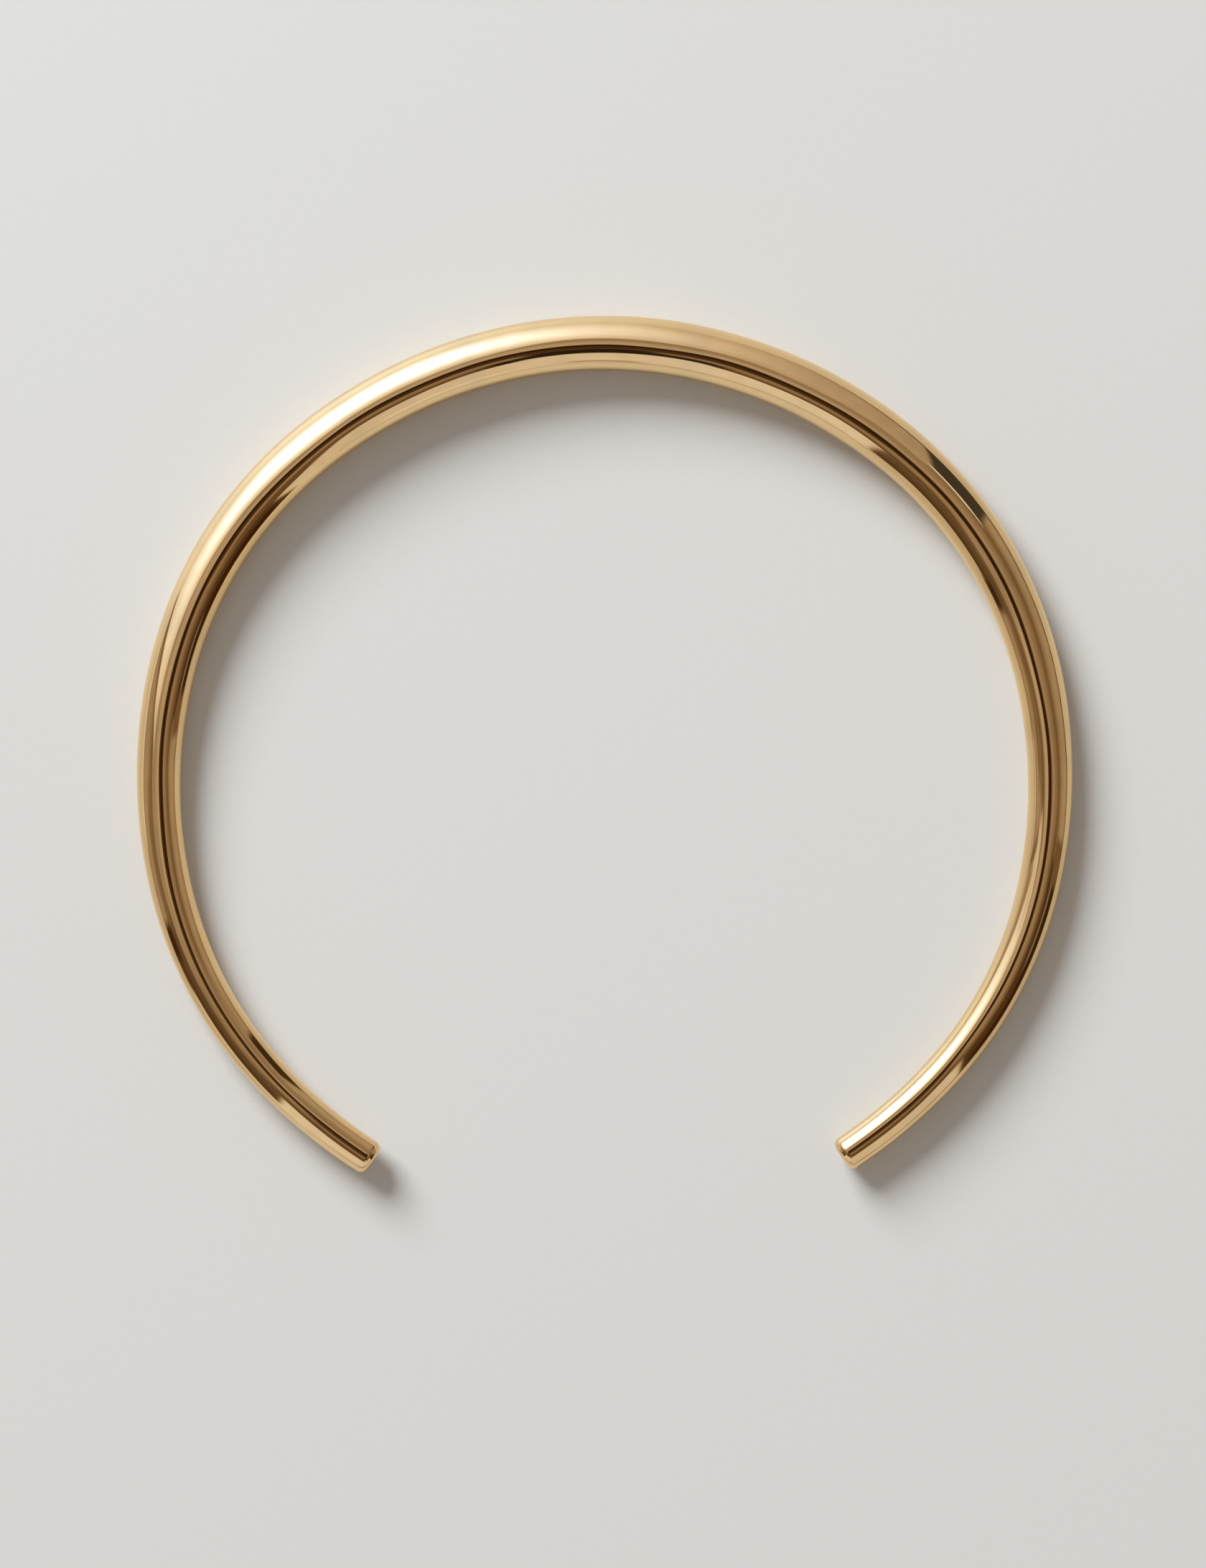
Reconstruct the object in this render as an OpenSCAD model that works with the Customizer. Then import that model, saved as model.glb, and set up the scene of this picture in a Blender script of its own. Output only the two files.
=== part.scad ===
// Collar choker: one round bar bent into an open oval that lies on a surface, thickest at the front middle
// and thinner towards both tips. Millimetres, +Z up, front towards +Y, origin under the outline's middle.

/* [Collar] */
// Inside width across the two sides, where the neck goes
inside_w = 124.2; // [112:0.1:140]
// Length of the right arm, along the bar from the front middle to the tip
right_arm = 168.1; // [150:0.1:172]
// Length of the left arm, a little longer because the bar is bent by hand
left_arm = 169.1; // [150:0.1:172]
// Height of the tips above the surface, because the bar isn't bent quite flat
tip_lift = 0.8; // [0:0.1:2]
// Distance from the front middle at which the bar leaves the surface
lift_from = 100; // [60:1:140]

/* [Bar] */
// Diameter at the middle of the front
front_d = 8.1; // [6:0.1:10]
// Diameter at the tips
tip_d = 5.2; // [4:0.1:6]
// Distance from the front middle at which the bar begins to thin
taper_from = 20; // [0:1:60]
// Distance from the front middle at which the thinning would be complete, just past the tips
taper_to = 180; // [150:1:220]
// Radius of the rounded rim at each tip
rim_r = 1.25; // [0.4:0.05:1.5]

/* [Smoothness] */
// Sides of the bar's round section, a multiple of four
sides = 36; // [24:4:40]
// Rings along each arm
arm_rings = 46; // [30:1:48]
// Rings round each rim
rim_rings = 5; // [3:1:6]

/* [Hidden] */

// How tightly one arm is bent when the collar is 124 mm wide inside.
// Columns: distance from the front middle, and bend radius of the centre line there.
AT = 0;
BEND = 1;
BENDS = [
    [0,   66],    // middle of the front
    [35,  69.5],  // the flatter stretch beside it
    [68,  58],    // shoulder
    [102, 72],    // side, where the collar is widest
    [134, 58.5],  // turn towards the back
    [170, 82.5],  // tip
];

// Columns of a place on the centre line: x, y and the bar's heading in degrees
X = 0;
Y = 1;
HEADING = 2;

// Share of the way from one distance to another, easing in and out
function eased(at, from, to) =
    let (share = min(1, max(0, (at - from) / (to - from))))
    share * share * (3 - 2 * share);

// Diameter of the bar at a distance from the front middle
function bar_d(at) = front_d + (tip_d - front_d) * eased(at, taper_from, taper_to);

// Height of the bar's underside at a distance from the front middle, on an arm of a given length
function lift(at, length) = tip_lift * eased(at, lift_from, length);

// Row of BENDS that starts the stretch holding a distance
function stretch(at, row = 0) = row + 2 < len(BENDS) && at >= BENDS[row + 1][AT] ? stretch(at, row + 1) : row;

// Turn of the bar, in degrees, for each millimetre along it
function turn_rate(at) =
    let (row = stretch(at), a = BENDS[row], b = BENDS[row + 1])
    (1 / a[BEND] + (1 / b[BEND] - 1 / a[BEND]) * eased(at, a[AT], b[AT])) * 180 / PI;

// The centre line of one arm: a place for each ring, stepping along the bar's own heading
function line(length, rings) =
    let (step = length / rings)
    [for (
        i = 0, x = 0, y = 0, a = 0;
        i <= rings;
        turn = step * turn_rate((i + 0.5) * step),
        x = x + step * cos(a + turn / 2),
        y = y - step * sin(a + turn / 2),
        a = a + turn,
        i = i + 1
    ) [x, y, a]];

// The bends are scaled so that the collar has its stated inside width across the widest place
nominal_length = BENDS[len(BENDS) - 1][AT];
nominal_line = line(nominal_length, arm_rings);
widest_x = max([for (p = nominal_line) p[X]]);
widest_ring = [for (i = [0:arm_rings]) if (nominal_line[i][X] == widest_x) i][0];
bend_scale = (inside_w + bar_d(widest_ring * nominal_length / arm_rings)) / 2 / widest_x;

// One ring of points round the bar, standing across its heading
function ring(x, y, heading, section_r, axis_z) =
    [for (s = [0:sides - 1])
        let (a = s * 360 / sides - 90, out = section_r * cos(a))
        [x + out * sin(heading), y + out * cos(heading), axis_z + section_r * sin(a)]];

// The rings of one arm from the front middle out to its tip, then those of its rounded rim
function arm(length) =
    let (
        plain = length - rim_r,
        places = line(plain / bend_scale, arm_rings),
        tip = places[arm_rings],
        tip_r = bar_d(plain) / 2
    )
    concat(
        [for (i = [0:arm_rings])
            let (p = places[i], at = i * plain / arm_rings, r = bar_d(at) / 2)
            ring(p[X] * bend_scale, p[Y] * bend_scale, p[HEADING], r, r + lift(at, plain))],
        [for (i = [1:rim_rings])
            let (a = 90 * i / rim_rings, past = rim_r * sin(a))
            ring(
                tip[X] * bend_scale + past * cos(tip[HEADING]),
                tip[Y] * bend_scale - past * sin(tip[HEADING]),
                tip[HEADING], tip_r - rim_r * (1 - cos(a)), tip_r + tip_lift
            )]
    );

// A ring of the right arm, mirrored to the left one
function mirrored(points) = [for (p = points) [-p[0], p[1], p[2]]];

// All rings from the left tip round the front to the right tip
right_rings = arm(right_arm);
left_rings = arm(left_arm);
all_rings = concat(
    [for (i = [len(left_rings) - 1:-1:1]) mirrored(left_rings[i])],
    right_rings
);
last_ring = len(all_rings) - 1;

// The front stands as far ahead of the origin as the tips lie behind it
all_y = [for (points = all_rings) for (p = points) p[1]];
middle_y = (max(all_y) + min(all_y)) / 2;

// Number of the point at one side of one ring
function corner(r, s) = r * sides + s % sides;

// The bent bar, skinned from ring to ring and closed by a flat face at each tip
module collar() {
    skin = [for (r = [0:last_ring - 1]) for (s = [0:sides - 1]) for (near_half = [true, false])
        near_half
            ? [corner(r, s), corner(r + 1, s + 1), corner(r, s + 1)]
            : [corner(r, s), corner(r + 1, s), corner(r + 1, s + 1)]];
    left_face = [for (s = [0:sides - 1]) corner(0, s)];
    right_face = [for (s = [sides - 1:-1:0]) corner(last_ring, s)];
    color([0.84, 0.66, 0.40])
        translate([0, -middle_y, 0])
            polyhedron(
                points = [for (points = all_rings) for (p = points) p],
                faces = concat(skin, [left_face, right_face])
            );
}

collar();
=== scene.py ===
import math

import bpy
import numpy as np
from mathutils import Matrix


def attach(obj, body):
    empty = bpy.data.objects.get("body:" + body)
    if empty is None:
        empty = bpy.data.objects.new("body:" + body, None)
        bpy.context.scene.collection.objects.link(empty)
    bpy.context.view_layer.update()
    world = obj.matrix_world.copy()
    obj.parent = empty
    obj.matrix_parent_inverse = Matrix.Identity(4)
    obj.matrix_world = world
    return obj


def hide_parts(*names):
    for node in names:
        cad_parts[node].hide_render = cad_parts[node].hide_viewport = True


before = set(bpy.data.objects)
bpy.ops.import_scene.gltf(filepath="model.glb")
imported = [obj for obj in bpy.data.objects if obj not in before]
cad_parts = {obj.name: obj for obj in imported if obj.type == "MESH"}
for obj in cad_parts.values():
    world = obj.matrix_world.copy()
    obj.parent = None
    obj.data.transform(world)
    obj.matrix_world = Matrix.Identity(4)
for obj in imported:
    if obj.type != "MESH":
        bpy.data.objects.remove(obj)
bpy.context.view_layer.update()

# The collar
# One round brass bar, thickest at the front and drawn thinner towards both tips, bent into an open oval
# that springs round the neck. It is gold plated and buffed along its length, and its tips are cut flat
# with a rounded rim.
MM = 0.001

# Inside width where the neck goes, and the length of each arm along the bar from the front middle
INSIDE_W = 124.2
RIGHT_ARM = 168.1
LEFT_ARM = 169.1
# How far the tips stand off the table, and the distance from the front middle at which the bar leaves it
TIP_LIFT = 0.8
LIFT_FROM = 100
# Diameter at the front middle and at the tips, and the distances between which the bar thins
FRONT_D = 8.1
TIP_D = 5.2
TAPER_FROM = 20
TAPER_TO = 180
# Radius of the rounded rim at each tip
RIM_R = 1.25

# Points round the bar, rings along each arm, rings round each rim, and the rings across each flat tip as
# shares of its radius
SIDES = 96
ARM_RINGS = 460
RIM_RINGS = 10
FACE_RINGS = (0.93, 0.6, 0.3)

# Distance from the front middle, and bend radius of the centre line there
BENDS = ((0, 66), (35, 69.5), (68, 58), (102, 72), (134, 58.5), (170, 82.5))
# The same distances, and the turn of the bar there in radians for each millimetre along it
TURNS = [(at, 1 / bend_r) for at, bend_r in BENDS]
# Where bending has left the bar's section slightly oval, leaning outwards or inwards: distance from the
# front middle, with the left arm below 0, and share of the radius
OVALS = (
    (-169, 0), (-150, 0.01), (-126, 0.02), (-103, 0), (-60, 0), (-32, -0.006), (-8, 0.002), (15, -0.006),
    (39, -0.009), (66, 0), (86, -0.008), (110, 0.022), (133, 0.014), (153, 0), (169, 0),
)
# Ripples that hand polishing leaves: the length of each along the bar, its lobes round the bar and where it
# starts, and then the height of them all as a share of the bar's radius
RIPPLES = ((31, 2, 0.4), (47, 3, 2.1), (19, 3, 4.4), (63, 2, 1.2), (27, 4, 5.3))
RIPPLE_HEIGHT = 0.0018


def eased(at, start, end):
    """Share of the way from start to end, easing in and out."""
    share = min(1, max(0, (at - start) / (end - start)))
    return share * share * (3 - 2 * share)


def eased_along(rows, at):
    """Value at one distance along the bar, easing from row to row."""
    for (start, first), (end, second) in zip(rows, rows[1:]):
        if at < end or end == rows[-1][0]:
            return first + (second - first) * eased(at, start, end)


def bar_d(at):
    """Diameter of the bar at a distance from the front middle."""
    return FRONT_D + (TIP_D - FRONT_D) * eased(at, TAPER_FROM, TAPER_TO)


def lift(at, length):
    """Height of the bar's underside: it isn't bent quite flat, so the tips stand off the table a little."""
    return TIP_LIFT * eased(at, LIFT_FROM, length)


def centre_line(length):
    """Places (x, y, heading) along one arm, stepping along the bar's own heading."""
    step = length / ARM_RINGS
    x = y = heading = 0
    places = [(x, y, heading)]
    for i in range(ARM_RINGS):
        turn = step * eased_along(TURNS, (i + 0.5) * step)
        x += step * math.cos(heading + turn / 2)
        y -= step * math.sin(heading + turn / 2)
        heading += turn
        places.append((x, y, heading))
    return places


# How much wider every bend is made than it is stated, so that the inside is as wide as it should be
stated_length = BENDS[-1][0]
stated_line = centre_line(stated_length)
widest = max(range(ARM_RINGS + 1), key=lambda i: stated_line[i][0])
wanted_half = (INSIDE_W + bar_d(widest * stated_length / ARM_RINGS)) / 2
bend_scale = wanted_half / stated_line[widest][0]


def uneven(along, turn):
    """How far the bar's section is off a true circle at one turn round it, as a share of its radius."""
    ripple = sum(
        math.sin(2 * math.pi * along / wave + lobes * turn + start) for wave, lobes, start in RIPPLES
    )
    return RIPPLE_HEIGHT * ripple + eased_along(OVALS, along) * math.sin(2 * turn)


def ring(x, y, heading, radius, axis_z, along, side):
    """Points round the bar at one place, and where each lay on the bar before it was bent."""
    bent, straight = [], []
    for s in range(SIDES):
        turn = 2 * math.pi * s / SIDES - math.pi / 2
        reach = radius * (1 + uneven(side * along, turn))
        out, up = reach * math.cos(turn), reach * math.sin(turn)
        bent.append((side * (x + out * math.sin(heading)), y + out * math.cos(heading), axis_z + up))
        straight.append((side * along, out, up))
    return bent, straight


def arm_rings(length, side):
    """Rings of one arm from the front middle out, then round its rim and across its flat tip."""
    before_rim = length - RIM_R
    places = centre_line(before_rim / bend_scale)
    rings = []
    for i, (x, y, heading) in enumerate(places):
        along = i * before_rim / ARM_RINGS
        radius = bar_d(along) / 2
        axis_z = radius + lift(along, before_rim)
        rings.append(ring(x * bend_scale, y * bend_scale, heading, radius, axis_z, along, side))
    x, y, heading = places[-1]
    tip_r = bar_d(before_rim) / 2

    def rim_ring(past, radius):
        return ring(
            x * bend_scale + past * math.cos(heading), y * bend_scale - past * math.sin(heading),
            heading, radius, tip_r + TIP_LIFT, before_rim + past, side,
        )

    for i in range(1, RIM_RINGS + 1):
        turn = math.pi / 2 * i / RIM_RINGS
        rings.append(rim_ring(RIM_R * math.sin(turn), tip_r - RIM_R * (1 - math.cos(turn))))
    rings += [rim_ring(RIM_R, (tip_r - RIM_R) * share) for share in FACE_RINGS]
    return rings


bar_rings = arm_rings(LEFT_ARM, -1)[:0:-1] + arm_rings(RIGHT_ARM, 1)
bent_points = np.array([point for bent, straight in bar_rings for point in bent])
straight_points = np.array([point for bent, straight in bar_rings for point in straight])
# The middle of the outline lies over the origin, and no ripple dips into the table
bent_points[:, 1] -= (bent_points[:, 1].max() + bent_points[:, 1].min()) / 2
bent_points[:, 2] = np.maximum(bent_points[:, 2], 0)

faces = []
for r in range(len(bar_rings) - 1):
    for s in range(SIDES):
        t = (s + 1) % SIDES
        faces.append((r * SIDES + s, (r + 1) * SIDES + s, (r + 1) * SIDES + t, r * SIDES + t))
last_ring = (len(bar_rings) - 1) * SIDES
faces.append(tuple(range(SIDES)))
faces.append(tuple(range(last_ring + SIDES - 1, last_ring - 1, -1)))

bar_mesh = bpy.data.meshes.new("collar_bar")
bar_mesh.from_pydata((bent_points * MM).tolist(), [], faces)
bar_mesh.shade_smooth()
unbent = bar_mesh.attributes.new("unbent", "FLOAT_VECTOR", "POINT")
unbent.data.foreach_set("vector", (straight_points * MM).astype(np.float32).ravel())
collar = bpy.data.objects.new("collar_bar", bar_mesh)
bpy.context.scene.collection.objects.link(collar)


class Wire:
    """One output of a shader node. Arithmetic on wires and numbers adds Math nodes."""

    def __init__(self, tree, socket=None):
        self.tree = tree
        self.socket = socket

    def node(self, kind, settings, inputs, output=0):
        """Adds a node of any kind: its settings first, then the values or wires of its sockets."""
        made = self.tree.nodes.new("ShaderNode" + kind)
        for name, value in settings.items():
            if name == "stops":
                ramp = made.color_ramp
                while len(ramp.elements) < len(value):
                    ramp.elements.new(1)
                for stop, (place, grey) in zip(ramp.elements, value):
                    stop.position = place
                    stop.color = (grey, grey, grey, 1)
            else:
                setattr(made, name, value)
        for name, value in inputs.items():
            if isinstance(value, Wire):
                self.tree.links.new(value.socket, made.inputs[name])
            else:
                made.inputs[name].default_value = value
        return Wire(self.tree, made.outputs[output] if len(made.outputs) else None)

    def math(self, operation, *values):
        return self.node("Math", {"operation": operation}, dict(enumerate(values)))

    def __add__(self, other):
        return self.math("ADD", self, other)

    def __radd__(self, other):
        return self.math("ADD", other, self)

    def __sub__(self, other):
        return self.math("SUBTRACT", self, other)

    def __rsub__(self, other):
        return self.math("SUBTRACT", other, self)

    def __mul__(self, other):
        return self.math("MULTIPLY", self, other)

    def __rmul__(self, other):
        return self.math("MULTIPLY", other, self)

    def __truediv__(self, other):
        return self.math("DIVIDE", self, other)

    def __pow__(self, other):
        return self.math("POWER", self, other)


def new_material(name):
    """A material with an empty node tree, and a wire of that tree for adding its nodes."""
    material = bpy.data.materials.new(name)
    material.use_nodes = True
    material.node_tree.nodes.clear()
    return material, Wire(material.node_tree)


def stretched(place, scales):
    """A place with its distances along the bar and across it scaled apart."""
    return place.node("VectorMath", {"operation": "MULTIPLY"}, {0: place, 1: scales})


def grain(place, scale=1, detail=4, roughness=0.5):
    """Random marks of a finish, from 0 to 1."""
    return place.node("TexNoise", {}, {
        "Vector": place, "Scale": scale, "Detail": detail, "Roughness": roughness,
    }, "Fac")


def between(share, first, second):
    """A colour between two others."""
    colour_output = 2
    return share.node(
        "Mix", {"data_type": "RGBA"}, {"Factor": share, "A": first, "B": second}, colour_output
    )


# Colour of the plating where it is clean, where it is a little deeper, and where a cloth has smudged it
GOLD = (0.94, 0.67, 0.35, 1)
GOLD_DEEPER = (0.91, 0.615, 0.29, 1)
GOLD_SMUDGED = (0.85, 0.60, 0.31, 1)
# How fine the marks are, along the bar and across it: buffing lines, clouds of deeper gold, and smudges
BUFFING_SCALE = (40, 2500, 2500)
CLOUD_SCALE = 160
SMUDGE_SCALE = (120, 25, 25)
# How marked a smudge has to be before it shows, and to show fully
SMUDGE_SHOWS = 0.48
SMUDGE_FULL = 0.72
# Depth of the buffing lines and how much of it shows, and roughness of the polish and what haze adds to it
BUFFING_DEPTH = 0.02 * MM
BUFFING_SHARE = 0.04
POLISH = 0.04
HAZE = 0.04

polished_gold, gold = new_material("polished_gold")
place = gold.node("Attribute", {"attribute_name": "unbent"}, {}, "Vector")
buffing = grain(stretched(place, BUFFING_SCALE), roughness=0.6)
clouds = grain(place, CLOUD_SCALE, detail=3)
wiping = grain(stretched(place, SMUDGE_SCALE), detail=2)
smudges = gold.node(
    "MapRange", {}, {"Value": wiping, "From Min": SMUDGE_SHOWS, "From Max": SMUDGE_FULL}, "Result"
)
tint = between(smudges, between(clouds, GOLD, GOLD_DEEPER), GOLD_SMUDGED)
relief = gold.node("Bump", {}, {"Strength": BUFFING_SHARE, "Distance": BUFFING_DEPTH, "Height": buffing})
plating = gold.node("BsdfPrincipled", {}, {
    "Base Color": tint, "Metallic": 1.0, "Roughness": POLISH + HAZE * buffing * clouds, "Normal": relief,
})
gold.node("OutputMaterial", {}, {"Surface": plating})
bar_mesh.materials.append(polished_gold)

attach(collar, "root")
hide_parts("collar")

# The table top
# One flat sheet of pale, slightly warm grey studio card that the collar lies on, wide enough to fill every
# view. The card has fine fibres and a thin coat that shines a little when it is seen from low down.
CARD_METRES = 8
# How fine the fibres are, and the colour of the card between them and on them
FIBRE_SCALE = 900
CARD_DARKER = (0.806, 0.801, 0.788, 1)
CARD_LIGHTER = (0.832, 0.827, 0.816, 1)
COAT = (0.88, 1, 1, 1)
COAT_ROUGHNESS = 0.34
# How the coat's shine changes as it is seen from lower down: first as the gold mirrors it, and then as it
# is seen directly, where it mustn't show the tent. The first two numbers are how low the view is where the
# change starts and ends, from 0 for right above to 1 for level with the card, the others the shine there
SHINE_IN_GOLD = (0.15, 0.72, 0.03, 0.29)
SHINE_ITSELF = (0.01, 0.3, 0.022, 0)

half_card = CARD_METRES / 2
card_corners = [(x * half_card, y * half_card, 0) for x, y in ((-1, -1), (1, -1), (1, 1), (-1, 1))]
card_mesh = bpy.data.meshes.new("table_card")
card_mesh.from_pydata(card_corners, [], [(0, 1, 2, 3)])
table_top = bpy.data.objects.new("table_card", card_mesh)
bpy.context.scene.collection.objects.link(table_top)


def rise(value, start, end, low=0, high=1):
    """Goes from low to high while the value goes from start to end, easing in and out."""
    return value.node("MapRange", {"interpolation_type": "SMOOTHSTEP"}, {
        "Value": value, "From Min": start, "From Max": end, "To Min": low, "To Max": high,
    }, "Result")


studio_card, card = new_material("studio_card")
card_place = card.node("TexCoord", {}, {}, "Object")
fibres = grain(card_place, FIBRE_SCALE, detail=3)
paper = between(fibres, CARD_DARKER, CARD_LIGHTER)
matt = card.node("BsdfPrincipled", {}, {"Base Color": paper, "Roughness": 1.0, "Specular IOR Level": 0.0})
coat = card.node("BsdfGlossy", {}, {"Color": COAT, "Roughness": COAT_ROUGHNESS})
facing = card.node("LayerWeight", {}, {"Blend": 0.5}, "Facing")
in_gold = rise(facing, *SHINE_IN_GOLD)
itself = rise(facing, *SHINE_ITSELF)
looked_at = card.node("LightPath", {}, {}, "Is Camera Ray")
shine = in_gold + (itself - in_gold) * looked_at
card_surface = card.node("MixShader", {}, {0: shine, 1: matt, 2: coat})
card.node("OutputMaterial", {}, {"Surface": card_surface})
card_mesh.materials.append(studio_card)

# The light tent
# A tent of white cloth over the table, with a diffuser lit hot from behind on its far and left sides, a pale
# card on its near side, dark stands and openings between them, and a hole for the lens overhead. It is no
# lamp: its light and shade are painted into the glow of the cloth, which only reflections see, so it is a
# painted reflection in the gold and in the card's coat. Left and right are the picture's, and the near side
# is at the picture's lower edge.
TENT_MIDDLE = (-0.12, -5.93)
TENT_R = 375
TENT_COLUMNS = 96
TENT_ROWS = 30
# Angle from overhead down to the tent's rim, just below the table
TENT_RIM = 94


def tent_dome():
    """Half a ball with its rim just below the table."""
    points = [(0, 0, TENT_R)]
    for r in range(1, TENT_ROWS + 1):
        down = math.radians(TENT_RIM) * r / TENT_ROWS
        for c in range(TENT_COLUMNS):
            turn = 2 * math.pi * c / TENT_COLUMNS
            points.append((
                TENT_R * math.sin(down) * math.cos(turn),
                TENT_R * math.sin(down) * math.sin(turn),
                TENT_R * math.cos(down),
            ))
    panels = []
    for c in range(TENT_COLUMNS):
        d = (c + 1) % TENT_COLUMNS
        panels.append((0, 1 + d, 1 + c))
        for r in range(TENT_ROWS - 1):
            upper, lower = 1 + r * TENT_COLUMNS, 1 + (r + 1) * TENT_COLUMNS
            panels.append((upper + c, upper + d, lower + d, lower + c))
    dome = bpy.data.meshes.new("light_tent")
    dome.from_pydata((np.array(points) * MM).tolist(), [], panels)
    return dome


tent = bpy.data.objects.new("light_tent", tent_dome())
tent.location = (TENT_MIDDLE[0] * MM, TENT_MIDDLE[1] * MM, 0)
bpy.context.scene.collection.objects.link(tent)
tent.visible_camera = False
tent.visible_diffuse = False
tent.visible_transmission = False
tent.visible_volume_scatter = False
tent.visible_shadow = False

# Places on the cloth are in degrees: azimuth, anticlockwise from the right, and zenith, down from overhead
DEGREES = 180 / math.pi
tent_painted_light, cloth = new_material("tent_painted_light")
# The cloth's glow is painted light and no lamp: only the rays that reflections send out find it
tent_painted_light.cycles.emission_sampling = "NONE"
spot = cloth.node("TexCoord", {}, {}, "Object")
east, north, high = (cloth.node("SeparateXYZ", {}, {"Vector": spot}, axis) for axis in "XYZ")
away = cloth.node("VectorMath", {"operation": "LENGTH"}, {0: spot}, "Value")
azimuth = cloth.math("WRAP", cloth.math("ARCTAN2", north, east) * DEGREES, 360, 0)
zenith = cloth.math("ARCCOSINE", high / away) * DEGREES

# 1 for what the hollow's side of the bar reflects, from across the hollow, and 0 for what its outside
# reflects. How far the reflection has come tells them apart
NEARER = TENT_R - 25
FARTHER = TENT_R + 15
across = rise(cloth.node("LightPath", {}, {}, "Ray Length"), NEARER * MM, FARTHER * MM)


def seen(value):
    """A value as it is seen. A pair is what is seen from outside the hollow and what from across it."""
    return value[0] + (value[1] - value[0]) * across if isinstance(value, tuple) else value


def past(value, start):
    """How far a value is past a start, or 0 before it."""
    return cloth.math("MAXIMUM", value - start, 0)


def short_of(value, end):
    """How far a value is short of an end, or 0 after it."""
    return cloth.math("MAXIMUM", end - value, 0)


def laid(under, tone, share):
    """One tone laid over another. A tone is how light it is, and how warm it is from 0 to 1."""
    return [below + (over - below) * share for below, over in zip(under, tone)]


# Zenith at which the azimuth of an edge that leans is given
LEAN_ZENITH = 60


def patch(under, light, sides, heights, blur, lean=(0, 0), warmth=1):
    """Lays a patch between two azimuths, which may lean with height, and two zeniths.

    The two widths in blur are those over which its sides fade, and its top and bottom.
    """
    half_side, half_height = (seen(width) * 0.5 for width in blur)
    first, second, top, bottom = (seen(place) for place in (*sides, *heights))
    first_at, second_at = (
        azimuth - seen(slope) * (zenith - LEAN_ZENITH) if slope else azimuth for slope in lean
    )
    share = (
        rise(first_at, first - half_side, first + half_side)
        * (1 - rise(second_at, second - half_side, second + half_side))
        * rise(zenith, top - half_height, top + half_height)
        * (1 - rise(zenith, bottom - half_height, bottom + half_height))
    )
    return laid(under, (seen(light), seen(warmth)), share)


# A zenith above the tent's top and one below its rim, and azimuths before every other and past them all
TOP = -10
BELOW = 120
FIRST = -20
NOWHERE = 400


def from_across(first, second):
    """Sides of a patch that is seen from across the hollow and from nowhere else."""
    return (NOWHERE, first), (NOWHERE, second)


# The bare cloth: zenith, and how light it is there. It is light near the top, with a dark seam half way up,
# and lighter again lower down. From across the hollow all of that is seen a little higher
WALL = (
    (0, 0.34), (14, 0.30), (28, 0.23), (37, 0.17), (45, 0.115), (48, 0.13),
    (57, 0.24), (66, 0.31), (75, 0.33), (82, 0.29), (102, 0.28),
)
WALL_END = WALL[-1][0]
SEEN_HIGHER = 8
height = zenith + SEEN_HIGHER * across
wall_stops = [(at / WALL_END, light) for at, light in WALL]
tone = [cloth.node("ValToRGB", {"stops": wall_stops}, {"Fac": height / WALL_END}, "Color"), 1]

# Lighter cloth high over the diffuser, and darker and lighter cloth beyond its left edge
tone = patch(tone, 0.42, (40, (196, 177)), (TOP, (13, 12)), blur=((30, 20), 8))
tone = patch(tone, 0.43, (150, (200, 216)), (8, 25), blur=(12, 8))
tone = patch(tone, 0.16, (183, 204), (46, 64), blur=(8, 12))
tone = patch(tone, (0.31, 0.25), (150, (206, 194)), (24, (43, 22)), blur=(16, 8))

# The diffuser's left edge: azimuth, lean for each degree up and down from where that is given, and how far
# the edge fades to each side
EDGE = (168.7, 172.5)
EDGE_LEAN_UP = (0.56, 0.35)
EDGE_LEAN_DOWN = (0.41, 0.14)
EDGE_FADES = 1
# The dark gap beyond that edge: where its far side fades, the zeniths where its top does, and its light
GAP_SIDE = (2, 5)
GAP_TOP = (48, 60)
GAP_LIGHT = 0.15
edge = (
    seen(EDGE) + seen(EDGE_LEAN_UP) * short_of(zenith, LEAN_ZENITH)
    - seen(EDGE_LEAN_DOWN) * past(zenith, LEAN_ZENITH)
)
beyond = azimuth - edge
past_edge = rise(beyond, -EDGE_FADES, EDGE_FADES)
gap = past_edge * (1 - rise(beyond, *GAP_SIDE)) * rise(zenith, *GAP_TOP)
tone = laid(tone, (GAP_LIGHT, 1), gap)

# The diffuser's top edge is an arch: zenith at its highest, how fast it falls to the left and from where,
# then each drop to the right with the azimuths between which the edge drops, and how far the edge fades
ARCH = (17.4, 17.6)
ARCH_FALL = (0.39, 0.40)
ARCH_FALLS_FROM = (130, 143)
ARCH_DROPS = (((0, 2), 129, 143), (8, 92, 108), (7, 48, 66))
ARCH_FADES = (-2.5, 3.5)
# Azimuths between which its right edge fades, behind the stand there
RIGHT_EDGE = (42.6, 44.4)
arch = seen(ARCH) + seen(ARCH_FALL) * past(azimuth, seen(ARCH_FALLS_FROM))
for drop, start, end in ARCH_DROPS:
    arch = arch + seen(drop) * (1 - rise(azimuth, start, end))
sheet = rise(azimuth, *RIGHT_EDGE) * (1 - past_edge) * rise(zenith - arch, *ARCH_FADES)

# The painted glow of a lamp behind the diffuser, where no lamp stands: where it is, and how far its glow
# spreads aside, up and down
LAMP_AZIMUTH = 123
LAMP_ZENITH = 55
SPREAD_ASIDE = 36.5
SPREAD_UP = 29.5
SPREAD_DOWN = (40, 36)
# How much farther aside it spreads past these azimuths on the left, and for each degree up
WIDER_LEFT = (6, 0.5)
LEFT_OF_LAMP = (115, 150)
WIDER_UP = 0.15
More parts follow.
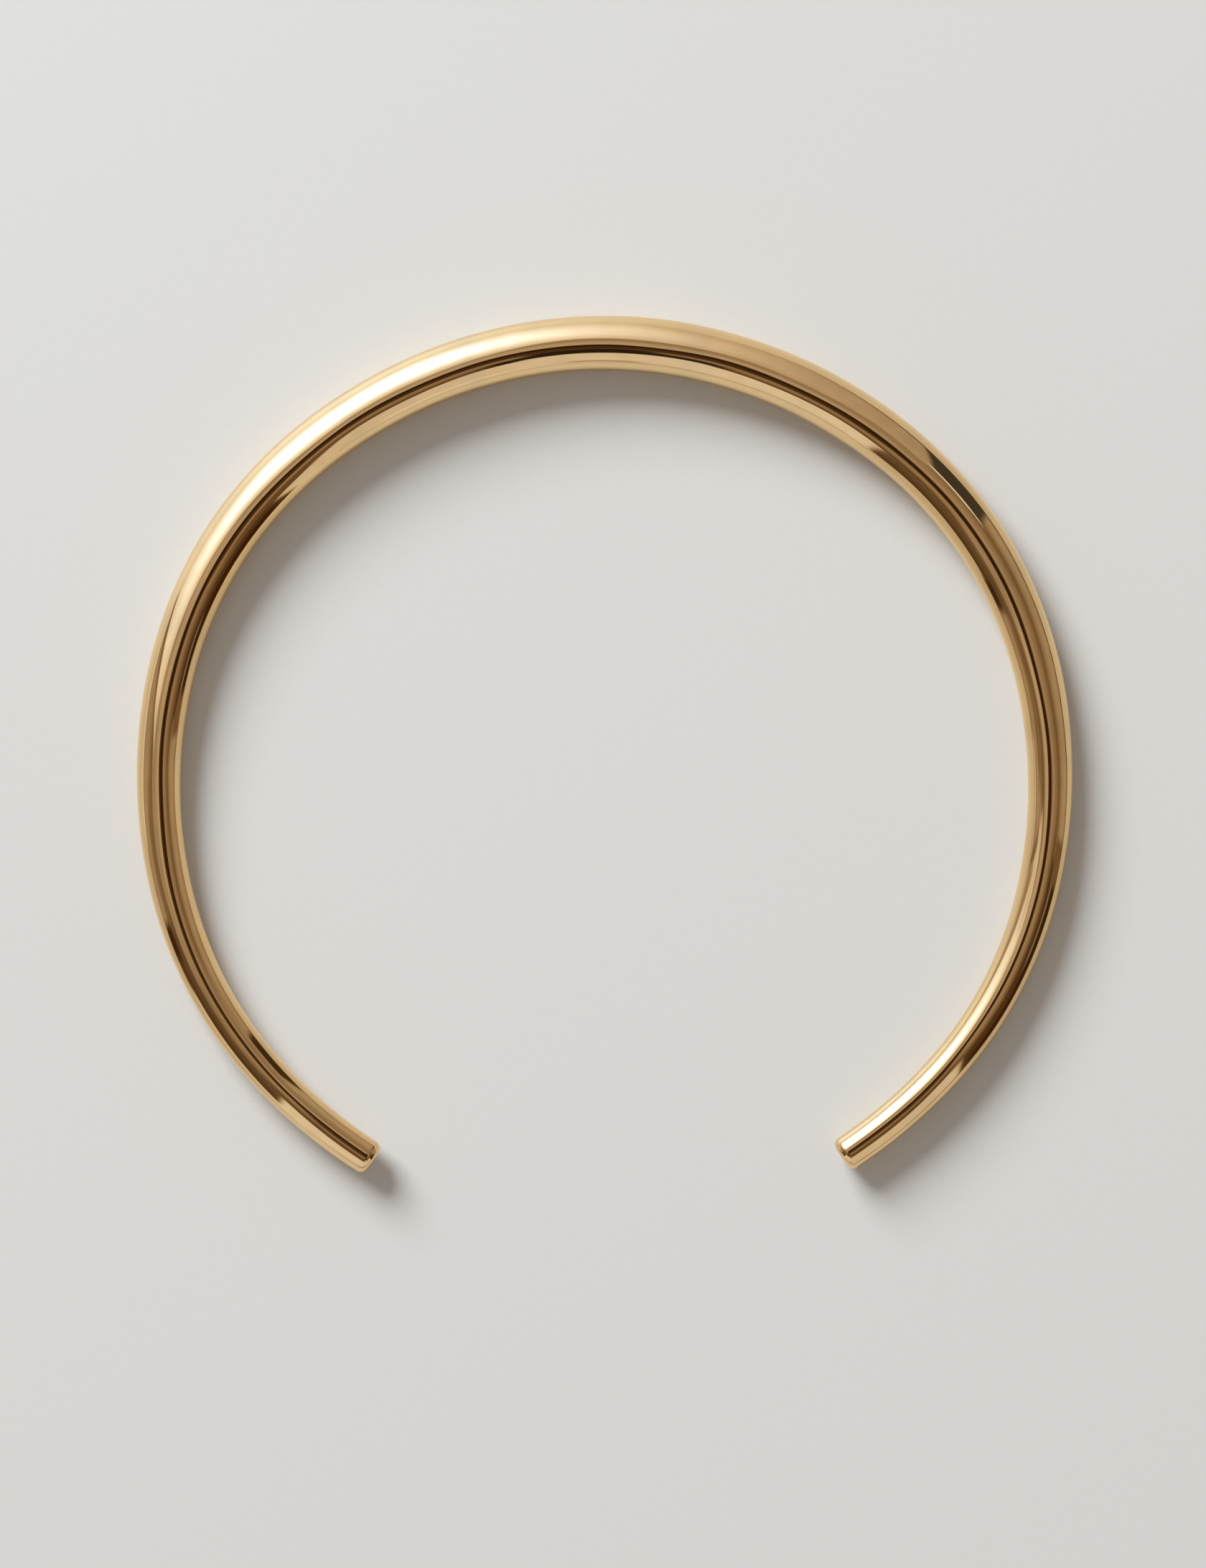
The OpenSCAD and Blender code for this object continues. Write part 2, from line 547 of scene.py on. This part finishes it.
# Light of the sheet itself and of the glow, and the light and sharpness of the glow's core
SHEET_LIGHT = 0.33
GLOW_LIGHT = 1.75
CORE_LIGHT = 7
CORE_SHARPNESS = 9
BLURRED_CORE_LIGHT = 1.6
above_lamp = short_of(height, LAMP_ZENITH)
spread = SPREAD_ASIDE + seen(WIDER_LEFT) * rise(azimuth, *LEFT_OF_LAMP) + WIDER_UP * above_lamp
aside = (azimuth - LAMP_AZIMUTH) / spread
up = above_lamp / SPREAD_UP
down = past(zenith, LAMP_ZENITH) / seen(SPREAD_DOWN)
hot = cloth.math("EXPONENT", 0 - aside * aside - up * up - down * down)
tone = laid(tone, (SHEET_LIGHT + GLOW_LIGHT * hot, 1 + hot), sheet)
# By way of the table or the other arm the core is seen blurred, so there it is spread out
blurred = rise(cloth.node("LightPath", {}, {}, "Ray Depth"), 1, 2)
# The core is a painted highlight of that lamp, hottest in the middle of the glow
core = CORE_LIGHT * hot ** CORE_SHARPNESS
hottest = sheet * (core + (BLURRED_CORE_LIGHT * hot * hot - core) * blurred)

# The diffuser's low corner on the left is shaded as it is seen from across the hollow. The slanting top of
# the shade: an azimuth, the zeniths between which it fades there, and how much higher it is for each degree
# to the left. Then the azimuths where it ends, and the share that is gone again near the table
SHADE_FROM = 156
SHADE_TOP = (67, 80)
SHADE_SLANT = 1.3
SHADE_ENDS = (170, 173)
SHADE_LIGHT = 0.28
SHADE_GONE = 0.6
SHADE_GONE_BELOW = (81, 88)
shade = across * rise(zenith + SHADE_SLANT * (azimuth - SHADE_FROM), *SHADE_TOP)
shade = shade * (1 - rise(azimuth, *SHADE_ENDS)) * (1 - SHADE_GONE * rise(zenith, *SHADE_GONE_BELOW))
tone = laid(tone, (SHADE_LIGHT, 1), shade)
# Paler cloth high over that corner
tone = patch(tone, 0.66, from_across(162, 179), (36, 50), blur=(5, 6))

# The dark stand at the diffuser's right edge, with its pale cap
tone = patch(tone, 0.25, from_across(26, 58), (28, 48), blur=(14, 6))
tone = patch(tone, 0.36, ((34.5, 36), (43.8, 47)), ((40, 42.5), 50), blur=(1.5, 2), warmth=0.8)
tone = patch(
    tone, (0.05, 0.03), ((33.4, 36.5), (44.8, 45)), (46.3, BELOW),
    blur=(1.5, 1), lean=((0.05, 0), 0.09), warmth=(0.3, 0.9),
)
tone = patch(tone, 1.5, (32.3, 43.8), (45, (46.8, 45)), blur=(1.5, 0.6), warmth=0.5)

# The dark opening to the left of the card, with the pale foot of the tent in front of it
tone = patch(tone, 0.12, (196, 236), ((41, 36), 50), blur=(6, 8))
tone = patch(tone, 0.085, ((199, 205), 236), (44, 62), blur=(3, 8), warmth=0.7)
tone = patch(tone, 0.055, ((199, 205), 236), (60, 88), blur=(3, 8))
tone = patch(tone, 0.025, ((198, 205), (203, 210)), (62, 86), blur=(2, 6))
tone = patch(tone, 0.72, ((208, 211), 236), ((82.7, 83.5), BELOW), blur=(3, 3))
tone = patch(tone, 0.76, (160, 188), ((85.5, 84), BELOW), blur=(3, 1.5))

# Dark cloth on the near side, high over the card, with the camera's dark stand and a pale clamp low on that
tone = patch(tone, 0.29, from_across(208, 240), (15, 32), blur=(6, 6))
tone = patch(tone, 0.21, (226, 320), (19, 44), blur=(6, 4))
tone = patch(tone, 0.085, (222, 322), (28, 44), blur=(8, 5))
tone = patch(tone, 0.015, (255, 286), (24.5, 40), blur=(5, 3), warmth=0.5)
tone = patch(tone, 0.015, (261.5, 280.5), (16, 28), blur=(4, 3), warmth=0.5)
tone = patch(tone, 0.50, (257, 281), (35, 42), blur=(3, 1.5), warmth=0.4)

# The pale card on the near side, dimmer towards the right, with shaded patches on it: how light it is, how
# much dimmer it gets and between which azimuths, and the zenith of its uneven top
NEAR_CARD = 0.75
NEAR_CARD_DIMMER = 0.11
DIMMER_BETWEEN = (245, 303)
near_card = NEAR_CARD - NEAR_CARD_DIMMER * rise(azimuth, *DIMMER_BETWEEN)
near_card_top = (44.4 - 2.4 * rise(azimuth, 300, 325), 37.4 + rise(azimuth, 235, 265))
tone = patch(
    tone, near_card, ((226, 235.2), (321, 313.2)), (near_card_top, BELOW), blur=(1.5, 1.4), lean=(0, -0.05),
)
tone = patch(tone, 0.09, ((340, 312.4), 322), (36, 52), blur=(4, 4), lean=(0.45, 0))
tone = patch(tone, 0.50, (232, 268), (83, 88), blur=(6, 2))
tone = patch(tone, 0.76, from_across(282, 298), (72, 88), blur=(6, 4))
tone = patch(tone, 0.36, (265, 275), (75, 84), blur=(4, 5))

# The dark opening to the right of the card, with a few dim things in it and a pale foot at its edge
tone = patch(tone, 0.10, (320, 352), (36, 50), blur=(6, 8))
tone = patch(tone, 0.045, ((320.5, 313.7), 349), (45, 90), blur=(1.5, 6), lean=(-0.05, 0))
tone = patch(tone, 0.018, ((321.5, 315), 346.5), ((68, 62), (92, 88)), blur=(4, 8))
tone = patch(tone, 0.20, (336, 349), (60, 67), blur=(4, 3), warmth=0.3)
tone = patch(tone, 0.11, (346.5, 352), (54, 90), blur=(1.5, 4))
tone = patch(tone, 0.60, ((316, 323), (327, 333)), ((88.5, 86.5), BELOW), blur=(3, 3), warmth=0.8)

# Dark cloth overhead, towards the near side
tone = patch(tone, 0.04, (190, 353), (TOP, (12.5, 7)), blur=(8, 3))
tone = patch(tone, 0.05, ((229, 240), 322), (TOP, (19, 17)), blur=(8, 4))

# The dark line where the tent meets the table
tone = patch(tone, (0.09, 0.5), (236, (370, 350)), (86.5, 91), blur=(16, 1.6))
tone = patch(tone, (0.06, 0.16), (FIRST, 60), (86, 93), blur=(24, 1.6))
tone = patch(tone, 0.20, from_across(351, 363), (83, 92), blur=(6, 3))

# The dark hole for the lens: where its middle is, a little off overhead, the distances from there between
# which its edge fades, and how light it is. Then the same for the inside and outside of the lens's rim
LENS_AZIMUTH = 300
LENS_ZENITH = 6.3
HOLE_EDGE = (6.4, 7.6)
HOLE_LIGHT = 0.012
RIM_INSIDE = (1.5, 2.5)
RIM_OUTSIDE = (3.5, 4.5)
RIM_LIGHT = 0.07
from_lens = zenith - LENS_ZENITH * cloth.math("COSINE", (azimuth - LENS_AZIMUTH) / DEGREES)
tone = laid(tone, (HOLE_LIGHT, 1), 1 - rise(from_lens, *HOLE_EDGE))
lens_rim = rise(from_lens, *RIM_INSIDE) * (1 - rise(from_lens, *RIM_OUTSIDE))
light, warmth = laid(tone, (RIM_LIGHT, 1), lens_rim)

# Folds that hang down the cloth, and bands across it: how many for each degree round and down, and how much
# they change the light
CLOTH_WAVES = ((0.35, 0.02, 0.30), (0.01, 0.5, 0.5))
for many_round, many_down, strength in CLOTH_WAVES:
    on_cloth = cloth.node("CombineXYZ", {}, {"X": azimuth * many_round, "Y": zenith * many_down})
    light = light * (1 + strength * (grain(on_cloth) - 0.5))

# Red and blue of the cloth's painted glow for each part of green, and how much the glow's colour shifts with
# its light, as far as each tone's warmth says: browner where it is dim and bluer where it is bright
CLOTH_RED = 0.93
CLOTH_BLUE = 1.18
GLOW_RED_SHIFT = 0.21
GLOW_BLUE_SHIFT = 0.3
glow = cloth.node("CombineColor", {}, {
    "Red": CLOTH_RED * light ** (1 - GLOW_RED_SHIFT * warmth) + hottest,
    "Green": light + hottest,
    "Blue": CLOTH_BLUE * light ** (1 + GLOW_BLUE_SHIFT * warmth) + hottest,
})
# The cloth's colour goes out as emission: its light and shade are painted, not cast by a lamp
cloth_painted_glow = cloth.node("Emission", {}, {"Color": glow, "Strength": 1.0})
cloth.node("OutputMaterial", {}, {"Surface": cloth_painted_glow})
tent.data.materials.append(tent_painted_light)

# The lamps
# One soft round lamp on a stand, at the upper left of the picture and low, lights the table, and even light
# from the pale room fills its shadows. The gold doesn't show them: it reflects the tent.
KEY_AZIMUTH = math.radians(126)
KEY_HEIGHT = math.radians(33)
# How many metres it is away, and how many it is across
KEY_AWAY = 3.6
KEY_SIZE = 2.0
KEY_POWER = 148
KEY_COLOUR = (0.93, 0.97, 0.982)
ROOM_COLOUR = (1.0, 0.91, 0.82, 1)
ROOM_LIGHT = 0.31

key_lamp = bpy.data.lights.new("key_lamp", "AREA")
key_lamp.shape = "DISK"
key_lamp.size = KEY_SIZE
key_lamp.energy = KEY_POWER
key_lamp.color = KEY_COLOUR
key = bpy.data.objects.new("key_lamp", key_lamp)
key.location = (
    KEY_AWAY * math.cos(KEY_HEIGHT) * math.cos(KEY_AZIMUTH),
    KEY_AWAY * math.cos(KEY_HEIGHT) * math.sin(KEY_AZIMUTH),
    KEY_AWAY * math.sin(KEY_HEIGHT),
)
key.rotation_euler = (math.pi / 2 - KEY_HEIGHT, 0, KEY_AZIMUTH + math.pi / 2)
key.visible_glossy = False
key.visible_camera = False
bpy.context.scene.collection.objects.link(key)

room = bpy.data.worlds.new("room")
room.use_nodes = True
room_light = room.node_tree.nodes["Background"]
room_light.inputs["Color"].default_value = ROOM_COLOUR
room_light.inputs["Strength"].default_value = ROOM_LIGHT
bpy.context.scene.world = room

# The camera
# It hangs over the table and looks straight down at the middle of the picture, with the front of the collar
# at the top. Its lens takes in the height of the picture at half the height of the bar.
PICTURE_MIDDLE = (-0.26, -5.83)
PICTURE_HEIGHT = 229.9
CAMERA_Z = 950
SENSOR = 36
# Nothing nearer than this to the lens is shown
NEAREST = 50
camera_lens = bpy.data.cameras.new("camera")
camera_lens.sensor_width = SENSOR
camera_lens.lens = SENSOR * (CAMERA_Z - FRONT_D / 2) / PICTURE_HEIGHT
camera_lens.clip_start = NEAREST * MM
camera = bpy.data.objects.new("camera", camera_lens)
camera.location = (PICTURE_MIDDLE[0] * MM, PICTURE_MIDDLE[1] * MM, CAMERA_Z * MM)
bpy.context.scene.collection.objects.link(camera)
bpy.context.scene.camera = camera
bpy.context.scene.view_settings.view_transform = "Standard"
